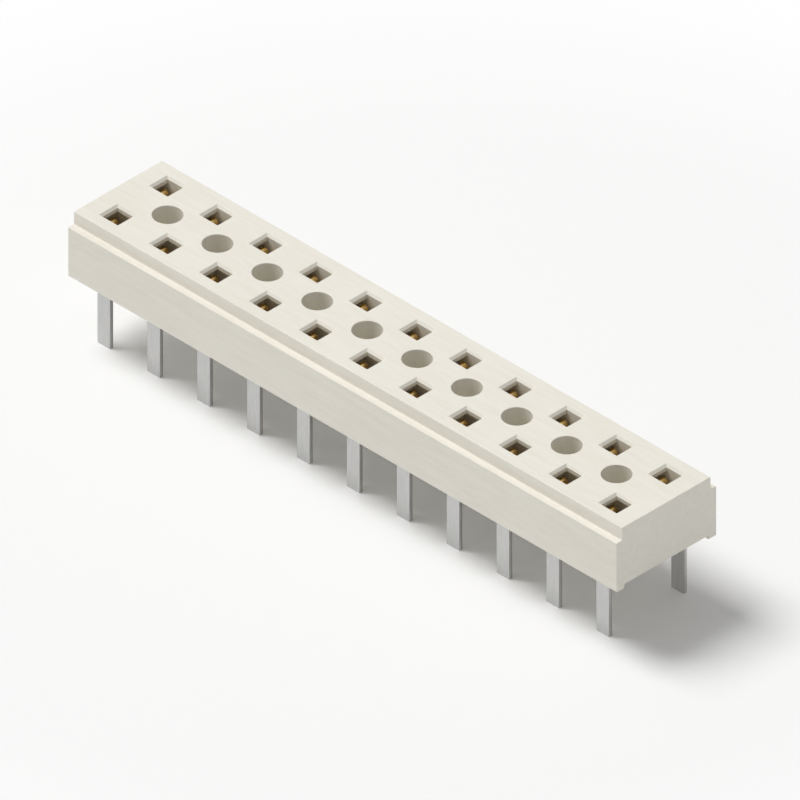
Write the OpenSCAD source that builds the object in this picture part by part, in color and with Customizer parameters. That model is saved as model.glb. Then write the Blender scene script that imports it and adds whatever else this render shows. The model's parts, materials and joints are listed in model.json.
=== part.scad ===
// Printed circuit board socket: a moulded housing with two rows of square post openings, and one formed
// spring contact under each opening. Millimetres. X runs along the rows, Y across them, Z up.
// The origin is the middle of the contact grid on the plane where the rails stand on the board.

/* [Contact grid] */
// Contacts in each row
columns = 11; // [2:1:24]
// Distance between neighbouring contacts of a row
pitch = 2.54; // [2.2:0.02:3.2]
// Distance between the two rows of openings
row_spacing = 2.54; // [2.2:0.02:4]

/* [Housing] */
// Height from the board to the top face
housing_height = 2.7; // [2.4:0.05:4]
// Distance from the last opening of a row to the end face
end_margin = 1.27; // [1:0.01:2]
// Distance from a row of openings to the long side face
side_margin = 1.27; // [1.2:0.01:2]
// How far the ledge sets the top block in from the side face
ledge_inset = 0.29; // [0.1:0.01:0.5]
// Height of the top block above the ledge
ledge_drop = 0.55; // [0.2:0.05:1.2]
// Width of the two rails that stand on the board
rail_width = 0.41; // [0.2:0.01:0.5]
// Height of the rails, which is the depth of the channel between them
rail_height = 0.17; // [0.1:0.01:0.3]
// Thickness of the roof over the contact cavities
roof = 0.255; // [0.2:0.005:0.5]

/* [Post openings] */
// Side of the square post that plugs in
post = 0.64; // [0.4:0.01:0.7]
// Room round the post on each side of it
post_clearance = 0.065; // [0.03:0.005:0.15]
// Width of the sloped lead-in round each mouth
lead_in = 0.095; // [0.05:0.005:0.18]

/* [Core holes] */
// Diameter of the blind core holes between the rows
core_diameter = 1.14; // [0.6:0.02:1.4]
// Thickness left between a core hole and the channel
core_floor = 0.73; // [0.3:0.01:1.4]

/* [Spring beams] */
// Thickness of the strip that a contact is formed from
stock = 0.17; // [0.1:0.01:0.22]
// Gap between the two beams of a contact with no post in it
contact_gap = 0.47; // [0.3:0.01:0.6]
// Length of the flat base between the two root bends
base_length = 0.92; // [0.82:0.02:1.1]
// Inside radius of the bend at the root of a beam
root_radius = 0.12; // [0.06:0.01:0.18]
// Inside radius of the curl at the tip of a beam
curl_radius = 0.03; // [0.03:0.01:0.15]
// Angle that a curl's tip ends at, from the upright
flare = 90; // [45:1:90]
// Length of the straight end past a curl
tip_length = 0.05; // [0.02:0.01:0.12]
// Narrowing of a beam on each side, from its root to its tip
beam_taper = 0.05; // [0.01:0.01:0.1]

/* [Solder tails] */
// Width of a solder tail
tail_width = 0.64; // [0.4:0.02:0.8]
// Distance from a row of openings out to the middle of its tails
tail_offset = 0.635; // [0.56:0.005:0.7]
// Length of the tails below the board side of the housing
tail_length = 2.72; // [1.5:0.02:4]
// Inside radius of the bend between base and tail
tail_radius = 0.1; // [0.05:0.01:0.14]

/* [Retention plates] */
// Height of the upright plate that holds the contact in its cavity, above the base
plate_height = 1.11; // [1:0.01:1.5]
// Width of the neck between base and plate
plate_neck = 0.8; // [0.5:0.02:0.9]
// Inside radius of the bend between base and plate
plate_radius = 0.08; // [0.05:0.01:0.12]
// How far each barb stands out of the plate's edge
barb = 0.05; // [0.02:0.01:0.1]
// Height of a barb's step above the base
barb_height = 0.55; // [0.4:0.01:0.7]
// Height of the flat that presses on the cavity's end wall
barb_land = 0.1; // [0.04:0.01:0.15]
// Height of the slope above that flat
barb_slope = 0.18; // [0.1:0.01:0.25]
// Cut at the plate's upper corners
plate_corner = 0.1; // [0.05:0.01:0.15]

/* [Clearances] */
// Room between a beam's root and the end wall of its cavity
beam_gap = 0.05; // [0.02:0.01:0.1]
// Room between a beam's edge and the side wall of its cavity
edge_gap = 0.035; // [0.02:0.005:0.08]
// Room between a curled tip and the roof
tip_gap = 0.231; // [0.05:0.001:0.3]
// Room round a tail where it enters the housing
tail_gap = 0.03; // [0.01:0.01:0.08]
// Room behind a retention plate
plate_gap = 0.02; // [0.01:0.01:0.06]

/* [Hidden] */
$fn = 64;
// Largest turn between two points of a bend
bend_step = 9;
// How far a cut runs past the face that it opens
cut_over = 0.1;

FRONT = -1;
BACK = 1;

housing_length = (columns - 1) * pitch + 2 * end_margin;
housing_width = row_spacing + 2 * side_margin;
top_width = housing_width - 2 * ledge_inset;
channel_width = housing_width - 2 * rail_width;
ceiling = housing_height - roof;

hole = post + 2 * post_clearance;
mouth = hole + 2 * lead_in;

base_bottom = rail_height;
base_top = base_bottom + stock;
beam_width = hole - 2 * edge_gap;
beam_tip_width = beam_width - 2 * beam_taper;
beam_reach = base_length / 2 + root_radius + stock;
cavity_length = 2 * (beam_reach + beam_gap);

// A leaf is the straight stretch between two bends that turn opposite ways, so it is the inner tangent
// of two circles: the inside of the root bend and the outside of the curl.
curl_outer = curl_radius + stock;
tip_top = ceiling - tip_gap;
root_centre = [base_length / 2, base_top + root_radius];
tip_rise = curl_outer * sin(flare) + tip_length * cos(flare);
curl_centre = [contact_gap / 2 + curl_outer, tip_top - tip_rise];
leaf_span = curl_centre - root_centre;
lean = asin((root_radius + curl_outer) / norm(leaf_span)) - atan2(leaf_span.x, leaf_span.y);

tail_bend = [tail_offset - stock / 2 - tail_radius, base_bottom - tail_radius];
tail_face = tail_offset + stock / 2;
tail_tip = -tail_length;
tail_pocket_width = tail_width + 2 * tail_gap;
tail_pocket_reach = tail_face + tail_gap;

plate_bend = [beam_width / 2, base_top + plate_radius];
plate_face = plate_bend.x + plate_radius + stock;
plate_top = base_top + plate_height;
plate_width = cavity_length - 2 * barb;
cavity_reach = plate_face + plate_gap;

function two_digits(i) = i < 10 ? str("0", i) : str(i);
function contact_name(side, i) = str("contact_", side == FRONT ? "front" : "back", "_", two_digits(i));

function arc(centre, radius, from, to) =
    let (steps = ceil(abs(to - from) / bend_step))
    [for (i = [0:steps])
        let (angle = from + (to - from) * i / steps)
        centre + radius * [cos(angle), sin(angle)]];

// Closes a half outline with its own mirror image across the vertical axis
function mirrored(half) = concat(half, [for (i = [len(half) - 1:-1:0]) [-half[i].x, half[i].y]]);

// An outline in X and Z, thick along Y
module across_y(thickness) {
    rotate([90, 0, 0])
        linear_extrude(thickness, center = true)
            children();
}

// An outline in Y and Z, thick along X
module across_x(thickness) {
    rotate([90, 0, 90])
        linear_extrude(thickness, center = true)
            children();
}

// Puts a shape at one contact's place, with its Y axis towards the other row
module at_contact(side, i) {
    translate([(i - 1 - (columns - 1) / 2) * pitch, side * row_spacing / 2, 0])
        rotate(side == BACK ? 180 : 0)
            children();
}

module each_contact() {
    for (side = [FRONT, BACK])
        for (i = [1:columns])
            at_contact(side, i)
                children();
}

// The housing's end view, right half: rail, channel, side face, ledge and top block
function housing_half() = [
    [channel_width / 2, rail_height],
    [channel_width / 2, 0],
    [housing_width / 2, 0],
    [housing_width / 2, housing_height - ledge_drop],
    [top_width / 2, housing_height - ledge_drop],
    [top_width / 2, housing_height]
];

module housing_block() {
    across_x(housing_length)
        polygon(mirrored(housing_half()));
}

// The lead-in's slope at 45 degrees, as half of a section through the mouth
function lead_in_half() = [
    [mouth / 2 + cut_over, housing_height + cut_over],
    [hole / 2 - cut_over, housing_height - lead_in - cut_over]
];

// A square funnel: two sloped prisms crossed
module lead_in_cut() {
    intersection() {
        across_x(2 * mouth)
            polygon(mirrored(lead_in_half()));
        across_y(2 * mouth)
            polygon(mirrored(lead_in_half()));
    }
}

module post_hole_cut() {
    translate([-hole / 2, -hole / 2, ceiling - cut_over])
        cube([hole, hole, roof + 2 * cut_over]);
}

// Room for the two spring beams and, on the side towards the other row, for the retention plate. Its outer
// wall is in line with the hole above it.
module cavity_cut() {
    translate([-cavity_length / 2, -hole / 2, -cut_over])
        cube([cavity_length, hole / 2 + cavity_reach, ceiling + cut_over]);
}

// Shallow pocket for the tail's neck, whose ceiling stops the contact on its way in
module tail_pocket_cut() {
    translate([-tail_pocket_width / 2, -tail_pocket_reach, -cut_over])
        cube([tail_pocket_width, tail_pocket_reach, base_top + cut_over]);
}

module contact_cavity() {
    lead_in_cut();
    post_hole_cut();
    cavity_cut();
    tail_pocket_cut();
}

module core_holes() {
    core_bottom = rail_height + core_floor;
    for (i = [1:columns - 1])
        translate([(i - columns / 2) * pitch, 0, core_bottom])
            cylinder(d = core_diameter, h = housing_height - core_bottom + cut_over);
}

module housing() {
    color("ivory")
        difference() {
            housing_block();
            each_contact() contact_cavity();
            core_holes();
        }
}

// End of the straight stretch past a curl, on the strip's face of that radius
function tip_end(radius) =
    curl_centre + radius * [-cos(flare), sin(flare)] + tip_length * [sin(flare), cos(flare)];

// Section of one spring beam along the row: root bend, leaf and curled tip, there and back
function beam_half() = concat(
    arc(root_centre, root_radius, -90, lean),
    arc(curl_centre, curl_outer, 180 + lean, 180 - flare),
    [tip_end(curl_outer), tip_end(curl_radius)],
    arc(curl_centre, curl_radius, 180 - flare, 180 + lean),
    arc(root_centre, root_radius + stock, lean, -90)
);

// Outline of a beam seen along the row, which narrows from the root bend to the curl
function beam_width_half() = [
    [beam_width / 2, 0],
    [beam_width / 2, root_centre.y],
    [beam_tip_width / 2, curl_centre.y],
    [beam_tip_width / 2, housing_height]
];

module spring_beams() {
    intersection() {
        across_y(2 * beam_width)
            polygon(mirrored(beam_half()));
        across_x(2 * cavity_length)
            polygon(mirrored(beam_width_half()));
    }
}

// Section of the tail across the row, drawn outwards from the middle of the base
function tail_section() = concat(
    [[0, base_top]],
    arc(tail_bend, tail_radius + stock, 90, 0),
    [[tail_face, tail_tip], [tail_face - stock, tail_tip]],
    arc(tail_bend, tail_radius, 0, 90),
    [[0, base_bottom]]
);

module solder_tail() {
    mirror([0, 1, 0])
        across_x(tail_width)
            polygon(tail_section());
}

// Section of the retention plate across the row, drawn inwards from the middle of the base
function plate_section() = concat(
    [[0, base_bottom]],
    arc(plate_bend, plate_radius + stock, -90, 0),
    [[plate_face, plate_top], [plate_face - stock, plate_top]],
    arc(plate_bend, plate_radius, 0, -90),
    [[0, base_top]]
);

// Face of the retention plate: neck, shoulder, barb and cut corner
function plate_half() =
    let (
        shoulder = plate_bend.y,
        edge = plate_width / 2,
        step = base_top + barb_height,
        flat = step + barb_land
    )
    [
        [plate_neck / 2, 0],
        [plate_neck / 2, shoulder],
        [edge, shoulder + edge - plate_neck / 2],
        [edge, step],
        [edge + barb, step],
        [edge + barb, flat],
        [edge, flat + barb_slope],
        [edge, plate_top - plate_corner],
        [edge - plate_corner, plate_top]
    ];

module retention_plate() {
    intersection() {
        across_x(2 * cavity_length)
            polygon(plate_section());
        across_y(4 * plate_face)
            polygon(mirrored(plate_half()));
    }
}

// One contact, formed from a single strip
module contact(side, i) {
    color("goldenrod")
        at_contact(side, i) {
            spring_beams();
            solder_tail();
            retention_plate();
        }
}

housing();
for (side = [FRONT, BACK])
    for (i = [1:columns])
        contact(side, i);
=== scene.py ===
# %% [markdown]
# A printed circuit board socket is soldered to a board and takes the square posts of a header from above.
# It has two kinds of piece: one moulded plastic housing, and one formed spring contact under each square
# opening. The packed model already settles where every piece is and how large it is. It is loaded here as
# a fixed frame, because a visual model that is built on measured boxes needs no fitting afterwards.

# %% Load the frame
import json
import math

import bmesh
import bpy
from mathutils import Matrix, Vector


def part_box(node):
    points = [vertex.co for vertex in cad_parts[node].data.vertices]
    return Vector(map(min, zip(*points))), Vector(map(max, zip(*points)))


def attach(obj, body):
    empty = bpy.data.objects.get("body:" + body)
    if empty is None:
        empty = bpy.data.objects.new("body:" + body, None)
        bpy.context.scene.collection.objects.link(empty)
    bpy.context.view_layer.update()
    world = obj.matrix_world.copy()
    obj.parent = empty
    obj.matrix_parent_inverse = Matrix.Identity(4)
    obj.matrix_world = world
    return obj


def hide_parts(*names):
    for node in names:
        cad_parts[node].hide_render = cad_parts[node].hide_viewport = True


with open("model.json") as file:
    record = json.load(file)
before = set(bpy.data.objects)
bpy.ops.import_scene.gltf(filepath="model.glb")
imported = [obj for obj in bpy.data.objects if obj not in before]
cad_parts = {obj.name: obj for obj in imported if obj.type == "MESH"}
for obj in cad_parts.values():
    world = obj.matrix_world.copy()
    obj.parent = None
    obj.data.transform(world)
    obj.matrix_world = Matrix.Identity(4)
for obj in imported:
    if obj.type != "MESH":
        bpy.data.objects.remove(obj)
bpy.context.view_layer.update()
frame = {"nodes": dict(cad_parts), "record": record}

print("frame:", len(frame["nodes"]), "nodes")

# %% [markdown]
# The whole socket is shorter than a thumb. Shapes this small are easier to read in millimetres, and
# Blender's merge and bevel distances suit that scale better than thousandths of a metre. So every piece is
# modelled in millimetres and brought down to metres once, at its end. The overall sizes could be typed in
# again, but then they could drift from the packed model. They are measured: the housing and the strip from
# their boxes, and the grid from the two mounts that describe it.

# %% Measure the frame
MM = 0.001

mounts = {mount["name"]: mount["dims"] for mount in frame["record"]["mounts"]}
pitch = mounts["post_openings"]["spacing_x_mm"]
row_spacing = mounts["post_openings"]["spacing_y_mm"]
columns = mounts["post_openings"]["count"] // 2
tail_offset = (mounts["board_footprint"]["spacing_y_mm"] - row_spacing) / 2

housing_low, housing_high = (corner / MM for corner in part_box("housing"))
housing_length, housing_width, housing_height = housing_high - housing_low
contact_low, contact_high = (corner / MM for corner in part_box("contact_front_01"))
tail_tip = contact_low.z
tip_top = contact_high.z
tail_face = -row_spacing / 2 - contact_low.y
strip = 2 * (tail_face - tail_offset)
print("housing %.2f x %.2f x %.2f mm" % (housing_length, housing_width, housing_height))
print("%d columns, strip %.2f mm thick, tails end at %.2f mm" % (columns, strip, tail_tip))

# %% [markdown]
# The reference is a true isometric drawing: the three axes are foreshortened alike and parallel edges stay
# parallel. A long lens far away would come close, but an orthographic camera gives it exactly, turned 45
# degrees and raised by atan(1 / sqrt 2). One measured point, the middle of the contact grid on the top
# face, then settles where the camera stands. It sees everything from a centimetre on, so that a view from
# close by cuts nothing off.

# %% Set the camera
PHOTO_SIDE = 800
GRID_CENTRE_PIXEL = (392.2, 344.2)
PIXELS_PER_MM = 27.78
CAMERA_DISTANCE = 0.3
NEAREST_SEEN = 0.01


def add_object(name, data):
    """A new object in the scene that shows the given data."""
    thing = bpy.data.objects.new(name, data)
    bpy.context.scene.collection.objects.link(thing)
    return thing


azimuth = math.radians(45)
elevation = math.atan(1 / math.sqrt(2))
to_camera = Vector((math.sin(azimuth) * math.cos(elevation),
                    -math.cos(azimuth) * math.cos(elevation),
                    math.sin(elevation)))
right = Vector((math.cos(azimuth), math.sin(azimuth), 0))
up = to_camera.cross(right)

pixel = MM / PIXELS_PER_MM
grid_centre = Vector((0, 0, housing_height * MM))
aim = grid_centre + right * (PHOTO_SIDE / 2 - GRID_CENTRE_PIXEL[0]) * pixel
aim = aim - up * (PHOTO_SIDE / 2 - GRID_CENTRE_PIXEL[1]) * pixel

camera = add_object("camera", bpy.data.cameras.new("camera"))
camera.data.type = "ORTHO"
camera.data.ortho_scale = PHOTO_SIDE * pixel
camera.data.clip_start = NEAREST_SEEN
camera.location = aim + to_camera * CAMERA_DISTANCE
camera.rotation_euler = to_camera.to_track_quat("Z", "Y").to_euler()
bpy.context.scene.camera = camera
print("camera sees %.2f mm across" % (camera.data.ortho_scale / MM))

# %% [markdown]
# A moulding is a block with holes, and both the block and the tools that cut its holes are stacks of
# outlines. Cubes and cylinders with a Bevel modifier would do for some of them, but then the modifier
# chooses how the edges meet. A loft says it outright: each ring has the same number of points, neighbouring
# rings are joined by quads, and the first and last are capped.


# %% Loft helpers
def arc(centre, radius, start, end, steps):
    """Points on an arc in a plane, with angles in degrees."""
    turns = [math.radians(start + (end - start) * i / steps) for i in range(steps + 1)]
    return [(centre[0] + radius * math.cos(t), centre[1] + radius * math.sin(t)) for t in turns]


def lofted(name, rings):
    """A closed piece through rings of points, each ring turning the same way."""
    mesh = bpy.data.meshes.new(name)
    work = bmesh.new()
    loops = [[work.verts.new(point) for point in ring] for ring in rings]
    for lower, upper in zip(loops, loops[1:]):
        for i in range(len(lower)):
            work.faces.new((lower[i - 1], lower[i], upper[i], upper[i - 1]))
    work.faces.new(loops[0][::-1])
    work.faces.new(loops[-1])
    bmesh.ops.recalc_face_normals(work, faces=work.faces)
    work.to_mesh(mesh)
    work.free()
    return add_object(name, mesh)


print("loft helpers ready: a half circle in 6 steps has", len(arc((0, 0), 1, 0, 180, 6)), "points")

# %% [markdown]
# Seen from its end, the housing is a block with a ledge along each upper edge and a rail along each lower
# edge, on which it stands clear of the board. Mould steel is never perfectly sharp, so every corner of this
# outline is a small arc that catches the light. The arcs are worked out here, corner by corner, and the
# outline can also be moved in by a chosen distance. Outer corners then get tighter and inner corners wider,
# so the number of points stays the same.

# %% Housing outline
LEDGE_INSET = 0.29
LEDGE_DROP = 0.55
RAIL_WIDTH = 0.41
RAIL_HEIGHT = 0.17
EDGE_RADIUS = 0.035
ROUND_STEPS = 5

half_width = housing_width / 2
ledge_z = housing_height - LEDGE_DROP
right_corners = [(half_width - RAIL_WIDTH, RAIL_HEIGHT),
                 (half_width - RAIL_WIDTH, 0),
                 (half_width, 0),
                 (half_width, ledge_z),
                 (half_width - LEDGE_INSET, ledge_z),
                 (half_width - LEDGE_INSET, housing_height)]
corners = right_corners + [(-y, z) for y, z in reversed(right_corners)]


def rounded_outline(inset):
    """The housing's end view, moved in by inset, with an arc at each corner."""
    points = []
    for i, corner in enumerate(corners):
        here = Vector(corner)
        before = (here - Vector(corners[i - 1])).normalized()
        after = (Vector(corners[(i + 1) % len(corners)]) - here).normalized()
        inward = Vector((-before.y, before.x)) + Vector((-after.y, after.x))
        turn = before.x * after.y - before.y * after.x
        radius = EDGE_RADIUS - inset * turn
        centre = here + inward * inset + (after - before) * radius
        start = math.degrees(math.atan2(-after.y, -after.x))
        points += arc(centre, radius, start, start + 90 * turn, ROUND_STEPS)
    return points


print("outline:", len(corners), "corners,", len(rounded_outline(0)), "points")

# %% [markdown]
# The block is that outline drawn out along the rows. Extruding it would leave sharp edges round both ends,
# and a bevel there would have to follow every corner of the ledges and rails. Instead the outline shrinks
# along a quarter circle as it nears each end, and the loft rounds the edge by itself.

# %% Housing block
END_RADIUS = 0.03

end_rings = arc((housing_length / 2 - END_RADIUS, END_RADIUS), END_RADIUS, -90, 0, ROUND_STEPS)
stations = [(-x, inset) for x, inset in reversed(end_rings)] + end_rings
block_rings = [[(x, y, z) for y, z in rounded_outline(inset)] for x, inset in stations]
block = lofted("housing_block", block_rings)
print("block:", len(block.data.polygons), "faces")

# %% [markdown]
# A header's post enters through a square mouth with a sloped lead-in, which steers a post that is a little
# off centre into the hole. The cutter for it is a square tower of rings with rounded corners: wide above
# the top face, a soft lip, the 45 degree slope, and then the straight hole through the roof. It reaches
# past both surfaces, because a boolean is unreliable where two faces lie in one plane.

# %% Mouth cutter
POST_HOLE = 0.77
LEAD_IN = 0.095
LEAD_SLOPE = 45
ROOF = 0.255
MOUTH_CORNER = 0.03
CORNER_STEPS = 4
LIP_RADIUS = 0.025
LIP_STEPS = 3
CUT_OVER = 0.1

half_hole = POST_HOLE / 2
ceiling = housing_height - ROOF


def square_ring(half, z):
    """A square of the given half side with rounded corners, at one height."""
    points = []
    for quarter in range(4):
        turn = math.radians(90 * quarter)
        x, y = math.cos(turn) - math.sin(turn), math.sin(turn) + math.cos(turn)
        centre = (x * (half - MOUTH_CORNER), y * (half - MOUTH_CORNER))
        points += arc(centre, MOUTH_CORNER, 90 * quarter, 90 * quarter + 90, CORNER_STEPS)
    return [(x, y, z) for x, y in points]


lip_half = half_hole + LEAD_IN + LIP_RADIUS * math.tan(math.radians(LEAD_SLOPE / 2))
mouth_lip = (lip_half, housing_height - LIP_RADIUS)
mouth_steps = [(lip_half, housing_height + CUT_OVER)]
mouth_steps += arc(mouth_lip, LIP_RADIUS, 90, 90 + LEAD_SLOPE, LIP_STEPS)
mouth_steps += [(half_hole, housing_height - LEAD_IN), (half_hole, ceiling - CUT_OVER)]
mouth = lofted("mouth_cutter", [square_ring(half, z) for half, z in mouth_steps])
print("mouth: %.2f mm outside, %.2f mm in the hole" % (POST_HOLE + 2 * LEAD_IN, POST_HOLE))

# %% [markdown]
# Under the roof the hole opens into a cavity that is open to the board, and the contact is pressed in from
# there. The cavity is longer than the hole along the row, so that the spring beams can move apart, and it
# reaches further towards the middle of the housing, where the contact's retention plate stands. A shallow
# pocket on its outer side lets the solder tail out. Both are plain prisms, and they stop short of the
# rails.

# %% Cavity cutters
CAVITY_LENGTH = 1.60
CAVITY_REACH = 0.62
POCKET_WIDTH = 0.70
POCKET_REACH = 0.75

base_bottom = RAIL_HEIGHT
base_top = base_bottom + strip


def prism(name, x_half, y_low, y_high, top):
    """An upright block from below the housing to the given height."""
    outline = [(-x_half, y_low), (x_half, y_low), (x_half, y_high), (-x_half, y_high)]
    return lofted(name, [[(x, y, z) for x, y in outline] for z in (-CUT_OVER, top)])


cavity = prism("cavity_cutter", CAVITY_LENGTH / 2, -half_hole, CAVITY_REACH, ceiling)
pocket = prism("pocket_cutter", POCKET_WIDTH / 2, -POCKET_REACH, 0, base_top)
print("cavity: %.2f x %.2f mm" % (CAVITY_LENGTH, half_hole + CAVITY_REACH))
print("it is %.2f mm deep, the pocket %.2f mm" % (ceiling - RAIL_HEIGHT, base_top - RAIL_HEIGHT))

# %% [markdown]
# Between the rows stand round blind holes. They are core holes: they take plastic out of the thick middle,
# so that the moulding cools evenly and stays straight. A core pin has a rounded end and leaves a soft lip.
# A cylinder would need a bevel of its own at each, so this cutter is turned from a profile with two arcs.

# %% Core hole cutter
CORE_DIAMETER = 1.14
CORE_FLOOR = 0.73
CORE_FLOOR_RADIUS = 0.12
CORE_SIDES = 64

core_radius = CORE_DIAMETER / 2
core_bottom = RAIL_HEIGHT + CORE_FLOOR


def round_ring(radius, z):
    """A circle of the given radius, at one height."""
    return [(x, y, z) for x, y in arc((0, 0), radius, 0, 360, CORE_SIDES)[:-1]]


core_lip = (core_radius + LIP_RADIUS, housing_height - LIP_RADIUS)
core_foot = (core_radius - CORE_FLOOR_RADIUS, core_bottom + CORE_FLOOR_RADIUS)
core_steps = [(core_radius + LIP_RADIUS, housing_height + CUT_OVER)]
core_steps += arc(core_lip, LIP_RADIUS, 90, 180, ROUND_STEPS)
core_steps += arc(core_foot, CORE_FLOOR_RADIUS, 0, -90, ROUND_STEPS)
core = lofted("core_cutter", [round_ring(radius, z) for radius, z in core_steps])
cutters = {"Mouth": mouth, "Cavity": cavity, "Pocket": pocket, "Core Hole": core}
print("cutters:", {label: len(cutter.data.polygons) for label, cutter in cutters.items()})

# %% [markdown]
# Geometry Nodes and materials are both node trees, and a tree that is written node by node soon hides its
# own idea. Two small classes keep the idea in view. The first wraps an output socket, so that sums on it
# are written as plain Python and each operator adds a Math node. The reflected forms let a plain number
# stand on the left.


# %% Wire
class Wire:
    """One output socket, with the arithmetic that this file uses."""

    def __init__(self, graph, socket):
        self.graph = graph
        self.socket = socket

    def out(self, name):
        return Wire(self.graph, self.socket.node.outputs[name])

    def __add__(self, other):
        return self.graph.math("ADD", self, other)

    __radd__ = __add__

    def __sub__(self, other):
        return self.graph.math("SUBTRACT", self, other)

    def __rsub__(self, other):
        return self.graph.math("SUBTRACT", other, self)

    def __mul__(self, other):
        return self.graph.math("MULTIPLY", self, other)

    __rmul__ = __mul__

    def __truediv__(self, other):
        return self.graph.math("DIVIDE", self, other)

    def __rtruediv__(self, other):
        return self.graph.math("DIVIDE", other, self)

    def __gt__(self, other):
        return self.graph.math("GREATER_THAN", self, other)

    def __lt__(self, other):
        return self.graph.math("LESS_THAN", self, other)


print("wire ready:", Wire.__doc__)

# %% [markdown]
# The second class adds the nodes themselves. A helper for each kind of node would be a long list, but every
# node is a type, some settings and some sockets, so one method makes them all. The settings come first,
# because an operation or a data type decides which sockets a node shows.


# %% Graph
class Graph:
    """A node tree that is built one node at a time."""

    def __init__(self, tree):
        self.tree = tree

    def add(self, kind, settings=None, sockets=None):
        """Adds a node and returns a wire from the first output it shows, or the node if it has none."""
        node = self.tree.nodes.new(kind)
        for name, value in (settings or {}).items():
            setattr(node, name, value)
        for key, value in (sockets or {}).items():
            self.plug(node, key, value)
        shown = [socket for socket in node.outputs if socket.enabled]
        return Wire(self, shown[0]) if shown else node

    def plug(self, node, key, value):
        """Sets a socket, by name or number: wires are linked, and all else is a value."""
        if isinstance(key, str):
            target = next(socket for socket in node.inputs if socket.enabled and socket.name == key)
        else:
            target = node.inputs[key]
        if isinstance(value, (Wire, list)):
            for wire in value if isinstance(value, list) else [value]:
                self.tree.links.new(wire.socket, target)
        else:
            target.default_value = value

    def math(self, operation, *values):
        return self.add("ShaderNodeMath", {"operation": operation}, dict(enumerate(values)))


print("graph ready:", Graph.__doc__)

# %% [markdown]
# A geometry tree is a rule that can be used again, so its sizes are named inputs rather than numbers
# inside. A modifier takes a value by the input's identifier, which is noted as the input is made. Each tree
# ends alike: edges steeper than 40 degrees stay crisp and the rest are shaded smooth, instances become real
# faces, and the material goes on.

# %% Geometry tree helpers
CREASE = math.radians(40)


def new_tree(name, inputs):
    """A geometry tree with named inputs: its graph, a wire for each input, and their identifiers."""
    tree = bpy.data.node_groups.new(name, "GeometryNodeTree")
    tree.interface.new_socket("Geometry", in_out="INPUT", socket_type="NodeSocketGeometry")
    keys = {}
    for label, kind in inputs.items():
        keys[label] = tree.interface.new_socket(label, in_out="INPUT", socket_type=kind).identifier
    tree.interface.new_socket("Geometry", in_out="OUTPUT", socket_type="NodeSocketGeometry")
    graph = Graph(tree)
    source = graph.add("NodeGroupInput")
    wires = {label: source.out(label) for label in ["Geometry", *inputs]}
    return graph, wires, keys


def end_tree(graph, geometry, material):
    """Smooth faces with crisp creases, realized, with their material."""
    steep = graph.add("GeometryNodeInputMeshEdgeAngle") > CREASE
    solid = graph.add("GeometryNodeSetShadeSmooth", {"domain": "FACE"},
                      {"Geometry": geometry, "Shade Smooth": True})
    solid = graph.add("GeometryNodeSetShadeSmooth", {"domain": "EDGE"},
                      {"Geometry": solid, "Selection": steep, "Shade Smooth": False})
    solid = graph.add("GeometryNodeRealizeInstances", {}, {"Geometry": solid})
    solid = graph.add("GeometryNodeSetMaterial", {}, {"Geometry": solid, "Material": material})
    graph.add("NodeGroupOutput", {}, {"Geometry": solid})
    print(graph.tree.name + ":", len(graph.tree.nodes), "nodes")


print("creases from %.0f degrees" % math.degrees(CREASE))

# %% [markdown]
# The openings repeat on a grid, so a tree sets the cutters out and takes them away from the block. Copies
# could be placed in a Python loop, but as a tree the same rule serves a socket of any length. A front row
# is one line of points along X. The back row is the front row turned half way round the middle of the grid,
# which also turns its pockets to the other side. The core holes are one fewer, on a line between the rows.
# An exact boolean can leave slivers where two cutters share a wall, so points that all but touch are merged
# afterwards.

# %% Openings tree
TOUCH = 0.0005

opening_inputs = {"Columns": "NodeSocketInt", "Pitch": "NodeSocketFloat",
                  "Row Spacing": "NodeSocketFloat", "Material": "NodeSocketMaterial"}
opening_inputs.update(dict.fromkeys(cutters, "NodeSocketObject"))
openings, given, opening_keys = new_tree("socket_openings", opening_inputs)


def line_of(count, y, label):
    """The labelled cutter on a line of points along X, centred on the origin."""
    start = openings.add("ShaderNodeCombineXYZ", {}, {"X": (1 - count) * given["Pitch"] / 2, "Y": y})
    step = openings.add("ShaderNodeCombineXYZ", {}, {"X": given["Pitch"]})
    points = openings.add("GeometryNodeMeshLine", {"mode": "OFFSET"},
                          {"Count": count, "Start Location": start, "Offset": step})
    cutter = openings.add("GeometryNodeObjectInfo", {}, {"Object": given[label]}).out("Geometry")
    placed = openings.add("GeometryNodeInstanceOnPoints", {}, {"Points": points, "Instance": cutter})
    return openings.add("GeometryNodeRealizeInstances", {}, {"Geometry": placed})


taken = [line_of(given["Columns"] - 1, 0.0, "Core Hole")]
for label in ("Mouth", "Cavity", "Pocket"):
    front = line_of(given["Columns"], given["Row Spacing"] / -2, label)
    back = openings.add("GeometryNodeTransform", {}, {"Geometry": front, "Rotation": (0, 0, math.pi)})
    taken += [front, back]
cut = openings.add("GeometryNodeMeshBoolean", {"operation": "DIFFERENCE", "solver": "EXACT"},
                   {"Mesh 1": given["Geometry"], "Mesh 2": taken})
clean = openings.add("GeometryNodeMergeByDistance", {}, {"Geometry": cut, "Distance": TOUCH})
end_tree(openings, clean, given["Material"])

# %% [markdown]
# Finishes come before the cut, because the tree puts them on. Every pattern reads Object coordinates,
# brought to millimetres, so a noise of scale 15 has grains about a fifteenth of a millimetre wide on any
# piece. Colours are blended by a Mix node, since a Math node would turn them grey.


# %% Material helpers
def new_material(name):
    """An empty material and its graph."""
    material = bpy.data.materials.new(name)
    material.use_nodes = True
    material.node_tree.nodes.clear()
    return material, Graph(material.node_tree)


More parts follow.
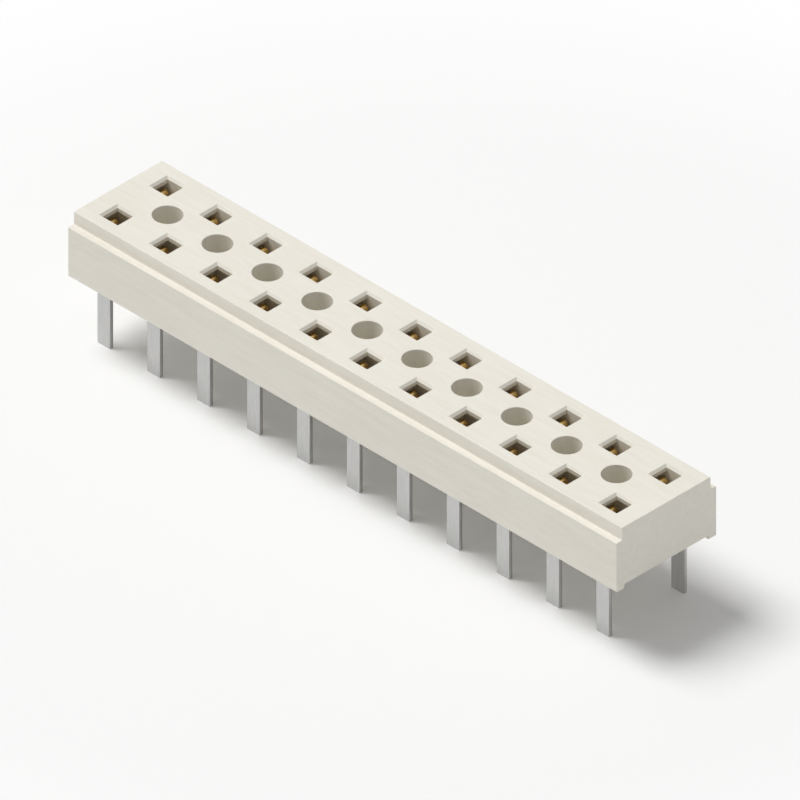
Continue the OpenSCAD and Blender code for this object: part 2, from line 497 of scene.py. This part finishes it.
def place_in_mm(graph, stretch=(1, 1, 1)):
    """Where a point is, in millimetres; a small stretch draws a pattern out along that axis."""
    place = graph.add("ShaderNodeTexCoord").out("Object")
    return graph.add("ShaderNodeMapping", {}, {"Vector": place, "Scale": tuple(s / MM for s in stretch)})


def noise(graph, place, scale, detail=2.0):
    return graph.add("ShaderNodeTexNoise", {}, {"Vector": place, "Scale": scale, "Detail": detail})


def mix_colour(graph, factor, first, second):
    return graph.add("ShaderNodeMix", {"data_type": "RGBA"}, {"Factor": factor, "A": first, "B": second})


def smooth_step(graph, value, low, high):
    """0 up to low and 1 from high on, with a soft change between them."""
    return graph.add("ShaderNodeMapRange", {"interpolation_type": "SMOOTHSTEP"},
                     {"Value": value, "From Min": low, "From Max": high})


def finish_material(material, graph, sockets):
    shader = graph.add("ShaderNodeBsdfPrincipled", {}, sockets)
    graph.add("ShaderNodeOutputMaterial", {}, {"Surface": shader})
    print(material.name + ":", len(graph.tree.nodes), "nodes")


print("patterns are scaled by %.0f from metres" % (1 / MM))

# %% [markdown]
# Only the outside of the mould was spark eroded. The openings were shaped by ground steel cores, so their
# walls are smoother and a post slides in easily. A second material would need every face sorted, but the
# openings lie on a grid, so a point's place is enough: how far it is from the nearest opening, and from the
# nearest core hole. The top face and the underside are kept out by a thin skin.

# %% Walls shaped by cores
WALL_SKIN = 0.004


def off_grid(graph, x):
    """How far a point is from the nearest contact, along the row."""
    return graph.math("ABSOLUTE", graph.math("WRAP", x, pitch / 2, -pitch / 2))


def core_shaped(graph, place):
    """1 on the walls of the openings and the core holes, and 0 on the outside."""
    spot = graph.add("ShaderNodeSeparateXYZ", {}, {"Vector": place})
    x, y = (graph.math("ABSOLUTE", spot.out(axis)) for axis in "XY")
    beside = off_grid(graph, x)
    from_row = graph.math("ABSOLUTE", y - row_spacing / 2)
    in_cavity = (beside < CAVITY_LENGTH / 2 + WALL_SKIN) * (from_row < CAVITY_REACH + WALL_SKIN)
    between = pitch / 2 - beside
    core_reach = core_radius + LIP_RADIUS
    in_core = between * between + y * y < core_reach * core_reach
    in_core = in_core * (x < (columns - 1) / 2 * pitch)
    z = spot.out("Z")
    inside = (z < housing_height - WALL_SKIN) * (z > RAIL_HEIGHT + WALL_SKIN)
    return graph.math("MAXIMUM", in_cavity, in_core) * inside


print("walls are shaped by cores from %.3f mm below the top face" % WALL_SKIN)

# %% [markdown]
# The housing is natural, undyed engineering plastic filled with short glass fibres. The spark erosion of
# its mould left a fine even grain, and the melt ran along the mould, which left streaks and turned the
# fibres that way. Painted pictures of all that would need a UV map and would blur close up. Four noises
# give it at any scale, and the two that follow the melt are drawn out along X.

# %% Patterns in the plastic
GRAIN_PER_MM = 15
CLOUDS_PER_MM = 0.4
STREAKS_PER_MM = 4.5
FIBRES_PER_MM = 14
ALONG_ROWS = (0.1, 1.0, 1.0)

ivory, graph = new_material("ivory_moulding")
place = place_in_mm(graph)
melt = place_in_mm(graph, ALONG_ROWS)
grain = noise(graph, place, GRAIN_PER_MM, detail=3)
clouds = noise(graph, place, CLOUDS_PER_MM)
streaks = noise(graph, melt, STREAKS_PER_MM, detail=3)
fibres = noise(graph, melt, FIBRES_PER_MM)
cores = core_shaped(graph, place)
print("grains %.2f mm wide, streaks %.1f mm long" % (1 / GRAIN_PER_MM, 1 / STREAKS_PER_MM / ALONG_ROWS[0]))

# %% [markdown]
# The plastic is pale ivory and matte. Streaks, fibres and slow clouds tint its colour a little. The grain
# is a few thousandths of a millimetre deep. Real displacement of it would need millions of faces, so it
# goes into a bump and the roughness. A noise keeps to the middle of its range, so the depth that is set is
# about three times the depth that shows. Where cores shaped the walls, the bump is weaker and the surface
# smoother.

# %% Housing plastic
IVORY = (0.84, 0.81, 0.725, 1)
IVORY_SHADE = (0.795, 0.761, 0.668, 1)
STREAK_TINT = 0.45
FIBRE_TINT = 0.3
CLOUD_TINT = 0.25
TINT_RANGE = (0.35, 0.68)
FIBRE_RELIEF = 0.2
GRAIN_DEPTH = 0.016 * MM
PLASTIC_ROUGHNESS = 0.42
GRAIN_ROUGHNESS = 0.2
PLASTIC_IOR = 1.5
CORE_SMOOTHING = 0.8
CORE_POLISH = 0.15

tint = streaks * STREAK_TINT + fibres * FIBRE_TINT + clouds * CLOUD_TINT
colour = mix_colour(graph, smooth_step(graph, tint, *TINT_RANGE), IVORY, IVORY_SHADE)
rough = PLASTIC_ROUGHNESS + grain * GRAIN_ROUGHNESS - cores * CORE_POLISH
relief = grain * (1 - FIBRE_RELIEF) + fibres * FIBRE_RELIEF
bump = graph.add("ShaderNodeBump", {}, {"Height": relief, "Distance": GRAIN_DEPTH,
                                        "Strength": 1 - cores * CORE_SMOOTHING})
finish_material(ivory, graph, {"Base Color": colour, "Roughness": rough, "Normal": bump,
                               "IOR": PLASTIC_IOR})

# %% [markdown]
# The cut itself is a modifier on the block. A Boolean modifier for each of the openings would be slow and
# hard to follow, and one tree does all of them in a single exact boolean. Weighted normals then keep the
# flat faces flat beside their rounded edges. What a modifier shows is copied to a plain mesh in metres,
# because the finished piece has to carry its own shape. It then rides on the frame's one body and takes the
# place of the packed housing.

# %% Cut the housing
BODY = "root"


def shape_by_tree(piece, graph, keys, values):
    """Puts the tree on the piece with its inputs set, before the piece is evaluated."""
    modifier = piece.modifiers.new("shape", "NODES")
    modifier.node_group = graph.tree
    for label, value in values.items():
        modifier[keys[label]] = value


def settle(piece, name):
    """Evens the shading and turns the piece's modifiers into a plain mesh in metres."""
    piece.modifiers.new("even_shading", "WEIGHTED_NORMAL").keep_sharp = True
    bpy.context.view_layer.update()
    evaluated = piece.evaluated_get(bpy.context.evaluated_depsgraph_get())
    mesh = bpy.data.meshes.new_from_object(evaluated)
    mesh.name = name
    mesh.transform(Matrix.Scale(MM, 4))
    piece.modifiers.clear()
    piece.data = mesh
    piece.name = name
    return piece


shape_by_tree(block, openings, opening_keys, {"Columns": columns, "Pitch": pitch,
                                              "Row Spacing": row_spacing, "Material": ivory, **cutters})
housing = settle(block, "socket_housing")
for cutter in cutters.values():
    bpy.data.objects.remove(cutter)
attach(housing, BODY)
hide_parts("housing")
print("housing:", len(housing.data.polygons), "faces")

# %% [markdown]
# A contact is one strip of bronze, bent in several places. From the side, each spring beam leaves the base
# in a bend, leans in until the gap is narrower than a post, and curls outwards at its tip so that a post
# slides in. The gap, the base and the radii are known, and the lean is not. It follows from the triangle
# between the centres of the two arcs, because the straight leaf has to touch both. That is easier to trust
# than a curve nudged by eye.

# %% Beam profile
BASE_LENGTH = 0.92
CONTACT_GAP = 0.47
ROOT_RADIUS = 0.12
CURL_RADIUS = 0.03
FLARE = math.radians(90)
TIP_LENGTH = 0.05

curl_outer = CURL_RADIUS + strip
root_z = strip + ROOT_RADIUS
curl_z = tip_top - base_bottom - curl_outer * math.sin(FLARE) - TIP_LENGTH * math.cos(FLARE)
span = Vector((CONTACT_GAP / 2 + curl_outer - BASE_LENGTH / 2, curl_z - root_z))
lean = math.asin((ROOT_RADIUS + curl_outer) / span.length) - math.atan2(span.x, span.y)
leaf_length = span.y * math.cos(lean) - span.x * math.sin(lean)
print("beams lean %.1f degrees, straight leaf %.2f mm" % (math.degrees(lean), leaf_length))

# %% [markdown]
# Each bend is three numbers: where it starts on the flat strip, its inside radius and its angle. The middle
# of the strip keeps its length when it is bent, so the length that a bend uses up is measured there. A
# press tool maker lays out a flat blank by the same sum. Kept in one table, the bends serve the blank here
# and the tree that folds it later.

# %% Bend table
BEAM_WIDTH = 0.70
TAIL_RADIUS = 0.10
PLATE_RADIUS = 0.08
SQUARE = math.pi / 2


def bend_length(radius, angle):
    return (radius + strip / 2) * angle


base_side = BEAM_WIDTH / 2
base_end = BASE_LENGTH / 2
root_end = base_end + bend_length(ROOT_RADIUS, SQUARE + lean)
bends = {"Root": (base_end, ROOT_RADIUS, SQUARE + lean),
         "Curl": (root_end + leaf_length, CURL_RADIUS, lean + FLARE),
         "Tail": (tail_offset - strip / 2 - TAIL_RADIUS, TAIL_RADIUS, SQUARE),
         "Plate": (base_side, PLATE_RADIUS, SQUARE)}
for label, (start, radius, angle) in bends.items():
    print("%s: from %.2f mm, radius %.2f mm, %.0f degrees" % (label, start, radius, math.degrees(angle)))

# %% [markdown]
# The arms of the flat blank are lists of stations, each a distance from the middle and a half width.
# Straight stretches need one station at their end. Bends need a row of them, or the fold would have nothing
# to turn on. A subdivided grid would work too, but it would spend most of its faces where nothing bends.

# %% Arms of the blank
BEAM_TAPER = 0.05
TAIL_WIDTH = 0.64
PLATE_NECK = 0.80
BEND_STEPS = 14


def bend_stations(label, half):
    start, radius, angle = bends[label]
    length = bend_length(radius, angle)
    return [(start + length * (i + 1) / BEND_STEPS, half) for i in range(BEND_STEPS)]


tip_half = base_side - BEAM_TAPER
beam_stations = bend_stations("Root", base_side) + [(bends["Curl"][0], tip_half)]
beam_stations += bend_stations("Curl", tip_half)
beam_stations.append((beam_stations[-1][0] + TIP_LENGTH, tip_half))

tail_half = TAIL_WIDTH / 2
tail_stations = [(bends["Tail"][0], tail_half)] + bend_stations("Tail", tail_half)
tail_stations.append((tail_stations[-1][0] + base_bottom - TAIL_RADIUS - tail_tip, tail_half))

neck_half = PLATE_NECK / 2
plate_stations = bend_stations("Plate", neck_half)
print("flat lengths: beam %.2f mm, tail %.2f mm" % (beam_stations[-1][0], tail_stations[-1][0]))

# %% [markdown]
# The retention plate holds the contact in its cavity. It is almost as wide as the cavity is long, and a
# barb on each side bites into the wall. A barb is flat below, so that it holds against a pull, and sloped
# above, so that it goes in easily. Half of the outline is listed, and the other half is its mirror image.

# %% Retention plate
PLATE_HEIGHT = 1.11
BARB = 0.05
BARB_HEIGHT = 0.55
BARB_LAND = 0.10
BARB_SLOPE = 0.18
PLATE_CORNER = 0.10

plate_side = CAVITY_LENGTH / 2 - BARB
plate_foot = plate_stations[-1][0] - PLATE_RADIUS
plate_half = [(plate_side, PLATE_RADIUS + plate_side - neck_half),
              (plate_side, BARB_HEIGHT),
              (plate_side + BARB, BARB_HEIGHT),
              (plate_side + BARB, BARB_HEIGHT + BARB_LAND),
              (plate_side, BARB_HEIGHT + BARB_LAND + BARB_SLOPE),
              (plate_side, PLATE_HEIGHT - PLATE_CORNER),
              (plate_side - PLATE_CORNER, PLATE_HEIGHT)]
plate_rim = [(x, plate_foot + z) for x, z in plate_half]
plate_rim += [(-x, y) for x, y in reversed(plate_rim)]
print("plate: %.2f mm wide, %.2f mm over the barbs" % (2 * plate_side, 2 * (plate_side + BARB)))

# %% [markdown]
# Now the blank is drawn flat, as a die would cut it: a base with four arms. The beams go along the row, the
# tail outwards and the plate inwards. Four separate strips could be joined afterwards, but here each arm is
# a strip of quads that grows from one edge of the base, so neighbouring faces share their corners and the
# sheet has no seams.

# %% Flat blank
work = bmesh.new()


def vertex(x, y):
    return work.verts.new((x, y, 0))


def arm(first, second, stations, place):
    """A strip of faces from the edge between two vertices through stations; returns its last edge."""
    for along, half in stations:
        ahead = [vertex(*place(along, half)), vertex(*place(along, -half))]
        work.faces.new((second, ahead[1], ahead[0], first))
        first, second = ahead
    return first, second


right_edge = vertex(base_end, base_side), vertex(base_end, -base_side)
left_edge = vertex(-base_end, -base_side), vertex(-base_end, base_side)
tail_edge = vertex(tail_half, -base_side), vertex(-tail_half, -base_side)
plate_edge = vertex(-neck_half, base_side), vertex(neck_half, base_side)
work.faces.new((*right_edge, *tail_edge, *left_edge, *plate_edge)[::-1])

arm(*right_edge, beam_stations, lambda along, half: (along, half))
arm(*left_edge, beam_stations, lambda along, half: (-along, -half))
arm(*tail_edge, tail_stations, lambda along, half: (half, -along))
foot = arm(*plate_edge, plate_stations, lambda along, half: (-half, along))
work.faces.new((foot[1], *(vertex(x, y) for x, y in plate_rim), foot[0]))

blank = bpy.data.meshes.new("contact_blank")
work.to_mesh(blank)
work.free()
print("blank:", len(blank.polygons), "faces")

# %% [markdown]
# Forming is a set of folds, and each fold is the same rule. Before its start the strip is straight, inside
# it the strip turns about a centre one inside radius away, and after it the strip is straight again in its
# new direction. A Simple Deform modifier bends a whole object, and an armature would need weights. Written
# once as a node group, the rule bends any arm. It takes a point's place along the strip and its depth in
# it, counted from the face that ends up inside.

# %% Fold group
FOLD_INPUTS = ("Along", "Depth", "Start", "Inside Radius", "Angle", "Thickness")

fold_tree = bpy.data.node_groups.new("fold", "GeometryNodeTree")
for label in FOLD_INPUTS:
    fold_tree.interface.new_socket(label, in_out="INPUT", socket_type="NodeSocketFloat")
for label in ("Along", "Depth"):
    fold_tree.interface.new_socket(label, in_out="OUTPUT", socket_type="NodeSocketFloat")
graph = Graph(fold_tree)
source = graph.add("NodeGroupInput")
along, depth, start, radius, angle, thickness = (source.out(label) for label in FOLD_INPUTS)

length = (radius + thickness / 2) * angle
past = along - start
inside = graph.math("MINIMUM", graph.math("MAXIMUM", past, 0.0), length)
straight = past - inside
turn = inside / length * angle
sine, cosine = graph.math("SINE", turn), graph.math("COSINE", turn)
reach = radius + depth
graph.add("NodeGroupOutput", {}, {"Along": start + reach * sine + straight * cosine,
                                  "Depth": reach * cosine - straight * sine - radius})
print("fold group:", len(fold_tree.nodes), "nodes")

# %% [markdown]
# The tree for a contact begins with the sheet of metal. Every size is a named input, so a contact for
# another post could be made by the same tree. The blank is one layer of faces, and a Solidify modifier
# could thicken it after the folds. But that goes by the directions of the vertices, which is only close in
# tight bends. Thickened while it is flat, the strip keeps its thickness exactly. Extruding raises the upper
# side and the cut edges, and the blank itself, turned over, closes the underside.

# %% Contact sheet
sizes = {"Thickness": strip, "Base Side": base_side}
for label, values in bends.items():
    sizes.update(zip((label + " Start", label + " Radius", label + " Angle"), values))
contact_inputs = dict.fromkeys(sizes, "NodeSocketFloat")
contact_inputs.update({"Place": "NodeSocketVector", "Turn": "NodeSocketFloat",
                       "Material": "NodeSocketMaterial"})
forming, given, forming_keys = new_tree("formed_contact", contact_inputs)
thickness = given["Thickness"]

raised = forming.add("GeometryNodeExtrudeMesh", {"mode": "FACES"},
                     {"Mesh": given["Geometry"], "Offset Scale": thickness, "Individual": False})
under = forming.add("GeometryNodeFlipFaces", {}, {"Mesh": given["Geometry"]})
sheet = forming.add("GeometryNodeJoinGeometry", {}, {"Geometry": [raised, under]})
sheet = forming.add("GeometryNodeMergeByDistance", {}, {"Geometry": sheet, "Distance": TOUCH})
print("contact sheet:", len(sizes), "sizes as inputs")

# %% [markdown]
# A press folds a strip while it can still reach it, so each tip is folded before its root. The upper face
# ends up inside the beams' roots and the plate, which turn up, and the lower face inside the curls and the
# tail, which turn down. Vertex groups could tell the arms apart, but a point's place does it too: the beams
# lie within the width of the base, the tail on one side of it and the plate on the other.

# %% Fold the arms
flat = forming.add("ShaderNodeSeparateXYZ", {}, {"Vector": forming.add("GeometryNodeInputPosition")})
x, y, z = flat.out("X"), flat.out("Y"), flat.out("Z")
edge = given["Base Side"] + TOUCH


def fold(label, along, depth):
    folded = forming.add("GeometryNodeGroup", {"node_tree": fold_tree},
                         {"Along": along, "Depth": depth, "Start": given[label + " Start"],
                          "Inside Radius": given[label + " Radius"], "Angle": given[label + " Angle"],
                          "Thickness": thickness})
    return folded.out("Along"), folded.out("Depth")


def move(sheet, selection, x, y, z):
    where = forming.add("ShaderNodeCombineXYZ", {}, {"X": x, "Y": y, "Z": z})
    return forming.add("GeometryNodeSetPosition", {},
                       {"Geometry": sheet, "Selection": selection, "Position": where})


along, depth = fold("Curl", forming.math("ABSOLUTE", x), z)
along, depth = fold("Root", along, thickness - depth)
in_beams = forming.math("ABSOLUTE", y) < edge
sheet = move(sheet, in_beams, along * forming.math("SIGN", x), y, thickness - depth)
along, depth = fold("Tail", y * -1, z)
sheet = move(sheet, y < edge * -1, x, along * -1, depth)
along, depth = fold("Plate", y, thickness - z)
sheet = move(sheet, y > edge, x, along, thickness - depth)

turned = forming.add("ShaderNodeCombineXYZ", {}, {"Z": given["Turn"]})
placed = forming.add("GeometryNodeTransform", {},
                     {"Geometry": sheet, "Translation": given["Place"], "Rotation": turned})
end_tree(forming, placed, given["Material"])

# %% [markdown]
# A contact is plated in two zones: gold where a post slides on the beams, and matte tin from the foot of
# the beams down, where the solder goes. The change lies inside the housing. The narrow sides of the tails
# were cut by the die, and show its two bands: a bright sheared one and a darker torn one. Seams in the mesh
# could keep all this apart, but a material can ask where a point is, and a slow noise lets the borders
# waver as real ones do.

# %% Plating zones
GOLD_ZONE = (0.75, 0.95)
GOLD_WAVER = 0.1
TORN_ZONE = (0.62, 0.5)
TORN_WAVER = 0.25
WAVER_PER_MM = 3
SIDE_SKIN = 0.005

plating, graph = new_material("tin_and_gold_plating")
place = place_in_mm(graph)
spot = graph.add("ShaderNodeSeparateXYZ", {}, {"Vector": place})
waver = noise(graph, place, WAVER_PER_MM)
gold_zone = smooth_step(graph, spot.out("Z") + waver * GOLD_WAVER, *GOLD_ZONE)

beside = off_grid(graph, spot.out("X"))
cut_side = (beside > tail_half - SIDE_SKIN) * (spot.out("Z") < base_bottom)
inner_face = row_spacing / 2 + tail_face - strip
through = (graph.math("ABSOLUTE", spot.out("Y")) - inner_face) / strip
torn = cut_side * smooth_step(graph, through + waver * TORN_WAVER, *TORN_ZONE)
print("tin turns to gold about %.2f mm above the board" % GOLD_ZONE[0])

# %% [markdown]
# Rolling left fine lines along the strip, and tin grows in small crystals, so the finish needs only one
# noise drawn out along Z and one fine even noise. They shade the colours, roughen the tin and raise a very
# slight relief. Modelled lines would be thousands of faces that nobody sees. Gold is the smoother plating,
# and the torn band the roughest.

# %% Contact plating
GOLD = (0.86, 0.61, 0.24, 1)
GOLD_SHADE = (0.74, 0.49, 0.17, 1)
TIN = (0.68, 0.68, 0.672, 1)
TIN_SHADE = (0.44, 0.44, 0.436, 1)
TORN_EDGE = (0.42, 0.405, 0.385, 1)
ROLLED_PER_MM = 12
CRYSTALS_PER_MM = 16
ALONG_STRIP = (1.0, 1.0, 0.1)
CRYSTAL_TINT = 0.4
TIN_ROUGHNESS = 0.36
CRYSTAL_ROUGHNESS = 0.14
GOLD_POLISH = 0.14
TORN_ROUGHNESS = 0.2
RELIEF_DEPTH = 0.0012 * MM
RELIEF_STRENGTH = 0.5

rolled = noise(graph, place_in_mm(graph, ALONG_STRIP), ROLLED_PER_MM, detail=4)
crystals = noise(graph, place, CRYSTALS_PER_MM)
tint = rolled * (1 - CRYSTAL_TINT) + crystals * CRYSTAL_TINT
tin = mix_colour(graph, torn, mix_colour(graph, tint, TIN, TIN_SHADE), TORN_EDGE)
gold = mix_colour(graph, rolled, GOLD, GOLD_SHADE)
rough = TIN_ROUGHNESS + crystals * CRYSTAL_ROUGHNESS - gold_zone * GOLD_POLISH + torn * TORN_ROUGHNESS
bump = graph.add("ShaderNodeBump", {}, {"Height": (rolled + crystals) / 2, "Distance": RELIEF_DEPTH,
                                        "Strength": RELIEF_STRENGTH})
finish_material(plating, graph, {"Base Color": mix_colour(graph, gold_zone, tin, gold), "Metallic": 1.0,
                                 "Roughness": rough, "Normal": bump})

# %% [markdown]
# Each contact is a piece of its own, as it is on an assembly bench, made by the same tree with another
# place and turn. Stamping leaves a faint roundness on every edge. A narrow Bevel modifier gives it, limited
# by angle so that the small steps inside a bend are left alone.

# %% Form the contacts
STAMPED_EDGE = 0.014
STAMPED_STEPS = 2

contacts = []
for row, side, turn in (("front", -1, 0.0), ("back", 1, math.pi)):
    for column in range(columns):
        name = "contact_%s_%02d" % (row, column + 1)
        contact = add_object("formed_" + name, blank)
        place_x = (column - (columns - 1) / 2) * pitch
        shape_by_tree(contact, forming, forming_keys,
                      {**sizes, "Place": (place_x, side * row_spacing / 2, base_bottom), "Turn": turn,
                       "Material": plating})
        rounded = contact.modifiers.new("stamped_edge", "BEVEL")
        rounded.width = STAMPED_EDGE
        rounded.segments = STAMPED_STEPS
        rounded.limit_method = "ANGLE"
        rounded.angle_limit = CREASE
        settle(contact, "formed_" + name)
        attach(contact, BODY)
        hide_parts(name)
        contacts.append(contact)
print(len(contacts), "contacts of", len(contacts[0].data.polygons), "faces")

# %% [markdown]
# The socket stands on its tails on a pale floor, as on a light table. A plain white sheet would end in a
# visible line where it meets the white behind it, and a curved backdrop would get in the way of the other
# views. So the floor is almost white and dull near the socket, where it takes the shadow and sends soft
# light back up under the housing, and further out it fades into pure white. The fade is only for what the
# camera sees, directly or in a reflection, and adds no light.

# %% Floor finish
FLOOR_COLOUR = (0.96, 0.96, 0.957, 1)
FLOOR_ROUGHNESS = 0.9
FLOOR_GLOSS = 0.1
WHITE = (1, 1, 1, 1)
FADE_RANGE = (20, 34)


def seen_rays(graph):
    """1 for the rays that show a background: from the camera, in reflections and through glass."""
    path = graph.add("ShaderNodeLightPath")
    seen = graph.math("MAXIMUM", path.out("Is Camera Ray"), path.out("Is Glossy Ray"))
    return graph.math("MAXIMUM", seen, path.out("Is Transmission Ray"))


pale, graph = new_material("pale_floor")
away = graph.add("ShaderNodeVectorMath", {"operation": "LENGTH"}, {"Vector": place_in_mm(graph)})
fade = smooth_step(graph, away, *FADE_RANGE) * seen_rays(graph)
dull = graph.add("ShaderNodeBsdfPrincipled", {}, {"Base Color": FLOOR_COLOUR, "Roughness": FLOOR_ROUGHNESS,
                                                  "Specular IOR Level": FLOOR_GLOSS})
glow = graph.add("ShaderNodeEmission", {}, {"Color": WHITE, "Strength": 1.0})
faded = graph.add("ShaderNodeMixShader", {}, {0: fade, 1: dull, 2: glow})
graph.add("ShaderNodeOutputMaterial", {}, {"Surface": faded})
print("floor fades from %.0f to %.0f mm out" % FADE_RANGE)

# %% [markdown]
# The floor itself is one wide square at the height of the tails' tips. A primitive plane would do too, but
# from four corners it is plain to see that it lies at the origin with its height in its mesh. It is no part
# of the socket.

# %% Floor
FLOOR_SIDE = 6.0

floor_mesh = bpy.data.meshes.new("floor")
floor_corners = [(x * FLOOR_SIDE / 2, y * FLOOR_SIDE / 2, tail_tip * MM)
                 for x, y in ((-1, -1), (1, -1), (1, 1), (-1, 1))]
floor_mesh.from_pydata(floor_corners, [], [(0, 1, 2, 3)])
floor_mesh.materials.append(pale)
floor = add_object("floor", floor_mesh)
print("floor at %.2f mm, %.0f m wide" % (tail_tip, FLOOR_SIDE))

# %% [markdown]
# The light is a plain studio set: one large lamp from the upper left and even light from all round. The
# lamp stands so that the top, the long side and the end read as three tones, and its size keeps the shadow
# soft. A stronger lamp would make the background whiter, but the ivory would wash out with it. Instead the
# world shows white only to the camera and in reflections, and lights the socket at a lower level.

# %% Light
AMBIENT = 0.36
LAMP_PLACE = (-0.72, -0.26, 1.38)
LAMP_SIDE = 0.75
LAMP_POWER = 18.6

lamp = add_object("key_lamp", bpy.data.lights.new("key_lamp", "AREA"))
lamp.data.shape = "SQUARE"
lamp.data.size = LAMP_SIDE
lamp.data.energy = LAMP_POWER
lamp.location = LAMP_PLACE
lamp.rotation_euler = Vector(LAMP_PLACE).to_track_quat("Z", "Y").to_euler()

world = bpy.data.worlds.new("studio")
world.use_nodes = True
world.node_tree.nodes.clear()
graph = Graph(world.node_tree)
strength = AMBIENT + seen_rays(graph) * (1 - AMBIENT)
backdrop = graph.add("ShaderNodeBackground", {}, {"Color": WHITE, "Strength": strength})
graph.add("ShaderNodeOutputWorld", {}, {"Surface": backdrop})
bpy.context.scene.world = world
bpy.context.scene.view_settings.view_transform = "Standard"
print("lamp %.2f m away, even light %.2f" % (lamp.location.length, AMBIENT))

# %% [markdown]
# Dressing a model must not change its size.
